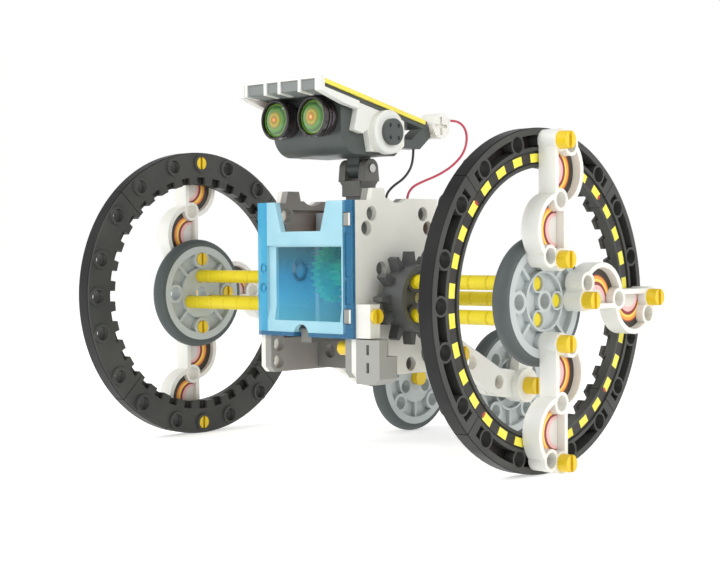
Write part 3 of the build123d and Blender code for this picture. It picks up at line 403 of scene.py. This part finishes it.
PAINT = {
    "ring_grey": ring_shader(),
    "tyre_rubber": moulded("tyre_rubber", "4d5554", 0.10, (0.5, 0.65)),
    "hub_grey": moulded("hub_plastic", "b6bdbc", 0.05, (0.3, 0.42)),
    "offwhite": moulded("offwhite_plastic", "e9e7df", 0.03, (0.34, 0.46), Subsurface_Weight=0.08),
    "side_panel": panel_shader(),
    "yellow": moulded("yellow_plastic", "e4c31e", 0.06, (0.3, 0.4)),
    "tube_yellow": moulded("tube_yellow_plastic", "e0cc18", 0.06, (0.3, 0.4)),
    "cover_blue": cover_shader(),
    "gear_dark": moulded("gear_plastic", "4b4d4c", 0.08),
    # the lower frame's dark grey is painted shade of the shaded low region between the panels
    "frame_grey": moulded("frame_shade_grey_plastic", "71706b", 0.06),
    # the foot blocks' mid grey is painted shade of the shaded low region beside the panels
    "foot_grey": moulded("foot_shade_grey_plastic", "9c9c96", 0.06),
    "tray_dark": moulded("tray_plastic", "a2aaac", 0.08),
    "gear_green": moulded("green_plastic", "4cd060", 0.08, (0.3, 0.4)),
    "gear_white": moulded("natural_plastic", "dcd9cf", 0.05),
    "steel": steel_shader("shaft_steel", "c8c8c6"),
    "motor_steel": steel_shader("motor_steel", "b4b6b8"),
    "armature": moulded("armature_copper", "7d4a28", 0.25, (0.4, 0.6), scale=600, Metallic=0.7),
    "pinion_brass": steel_shader("pinion_brass", "c8a04c"),
    "head_dark": moulded("head_plastic", "474d4b", 0.07, (0.32, 0.44)),
    "barrel": moulded("barrel_plastic", "2b2224", 0.3, (0.12, 0.26), Coat_Weight=0.5),
    "lens": lens_shader(),
    "lip_grey": moulded("lip_plastic", "7c817f", 0.06),
    "solar_yellow": moulded("solar_yellow_plastic", "f2e258", 0.05, (0.3, 0.4)),
    "solar_cells": solar_shader(),
    "track_print": track_shader(),
    "arm_print": flame_shader(),
    "wire_red": moulded("wire_red", "c43a55", 0.06, (0.3, 0.4)),
    "wire_black": moulded("wire_black", "2a2a2e", 0.1, (0.3, 0.4)),
}

# nodes whose look isn't that of their slot
OWN_LOOK = {
    "side_panel_left": "side_panel",
    "side_panel_right": "side_panel",
    "drive_tubes": "tube_yellow",
}


def paint_nodes():
    """Gives every CAD node the material of its slot in the record, or the look it has of its own."""
    for part in frame["record"]["subparts"]:
        node = nodes[part["node"]]
        node.data.materials.clear()
        node.data.materials.append(PAINT[OWN_LOOK.get(part["node"], part["material_slot"])].mat)


# ---- pieces made here -----------------------------------------------------------------------
def inner_labels():
    """The printed labels also show on the inner side of each arm's web."""
    mesh = nodes["arm_decals"].data.copy()
    for vertex in mesh.vertices:
        side = 1 if vertex.co.x > 0 else -1
        vertex.co.x = side * (2 * WEB_MIDDLE_X - abs(vertex.co.x))
    mesh.flip_normals()
    labels = bpy.data.objects.new("arm_labels_inner", mesh)
    bpy.context.scene.collection.objects.link(labels)
    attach(labels, "drive")


def from_axle(point):
    """A route point, in mm from the axle's centre, as metres in the part's frame."""
    return [value * MM + start for value, start in zip(point, AXLE)]


def curve_mesh(line):
    """The mesh that a curve object makes."""
    return bpy.data.meshes.new_from_object(line.evaluated_get(bpy.context.evaluated_depsgraph_get()))


def make_wire(name, node, route, slot):
    """Round wire on a smooth curve drawn by the CAD route's points, from the head down to the foot."""
    curve = bpy.data.curves.new(name, "CURVE")
    curve.dimensions = "3D"
    spline = curve.splines.new("NURBS")
    spline.points.add(len(route) - 1)
    for point, place in zip(spline.points, route):
        point.co = (*from_axle(place), 1.0)
    spline.order_u = WIRE_ORDER
    spline.use_endpoint_u = True
    curve.resolution_u = WIRE_STEPS
    line = bpy.data.objects.new(name + "_line", curve)
    bpy.context.scene.collection.objects.link(line)
    path = [tuple(vertex.co) for vertex in curve_mesh(line).vertices]
    curve.bevel_depth = WIRE_D / 2
    curve.bevel_resolution = WIRE_SIDES
    curve.use_fill_caps = True
    bpy.context.view_layer.update()
    mesh = curve_mesh(line)
    bpy.data.objects.remove(line)
    mesh.materials.clear()
    mesh.materials.append(PAINT[slot].mat)
    mesh.shade_smooth()
    wire = bpy.data.objects.new(name, mesh)
    bpy.context.scene.collection.objects.link(wire)
    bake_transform(wire)
    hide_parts(node)


# ---- studio ---------------------------------------------------------------------------------
def make_floor():
    """Plain pale floor, bright enough to meet the white of the room."""
    mesh = bpy.data.meshes.new("floor")
    corners = [(x * FLOOR_HALF, y * FLOOR_HALF, 0.0) for x, y in ((-1, -1), (1, -1), (1, 1), (-1, 1))]
    mesh.from_pydata(corners, [], [(0, 1, 2, 3)])
    floor = bpy.data.objects.new("floor", mesh)
    bpy.context.scene.collection.objects.link(floor)
    shader = Shader("floor_paper", Roughness=0.9, Emission_Color=(1, 1, 1, 1),
                    Emission_Strength=FLOOR_GLOW)
    shader.colour(shader.cloudy(shader.noise(3, 2), (0.86, 0.86, 0.86), (0.9, 0.9, 0.9)))
    mesh.materials.append(shader.mat)


def area_light(name, place, size, power):
    """Soft square light aimed at the robot."""
    data = bpy.data.lights.new(name, "AREA")
    data.size, data.energy = size, power
    light = bpy.data.objects.new(name, data)
    light.location = place
    light.rotation_euler = (Vector(AXLE) - Vector(place)).to_track_quat("-Z", "Y").to_euler()
    bpy.context.scene.collection.objects.link(light)


def make_studio():
    """Floor, two soft lights and a room that is white round the sides and greyer overhead."""
    make_floor()
    world = bpy.data.worlds.new("studio")
    world.use_nodes = True
    tree = world.node_tree
    rise = tree.nodes.new("ShaderNodeSeparateXYZ")
    sky = tree.nodes.new("ShaderNodeValToRGB")
    for element, (position, grey) in zip(sky.color_ramp.elements, SKY):
        element.position, element.color = position, (grey, grey, grey, 1.0)
    tree.links.new(tree.nodes.new("ShaderNodeTexCoord").outputs["Generated"], rise.inputs[0])
    tree.links.new(rise.outputs["Z"], sky.inputs["Fac"])
    tree.links.new(sky.outputs["Color"], tree.nodes["Background"].inputs["Color"])
    bpy.context.scene.world = world
    for light in LIGHTS:
        area_light(*light)
    bpy.context.scene.view_settings.view_transform = "Standard"


# ---- build ----------------------------------------------------------------------------------
paint_nodes()
inner_labels()
make_wire("wire_red_tube", "wire_red", RED_ROUTE, "wire_red")
make_wire("wire_black_tube", "wire_black", BLACK_ROUTE, "wire_black")
make_studio()
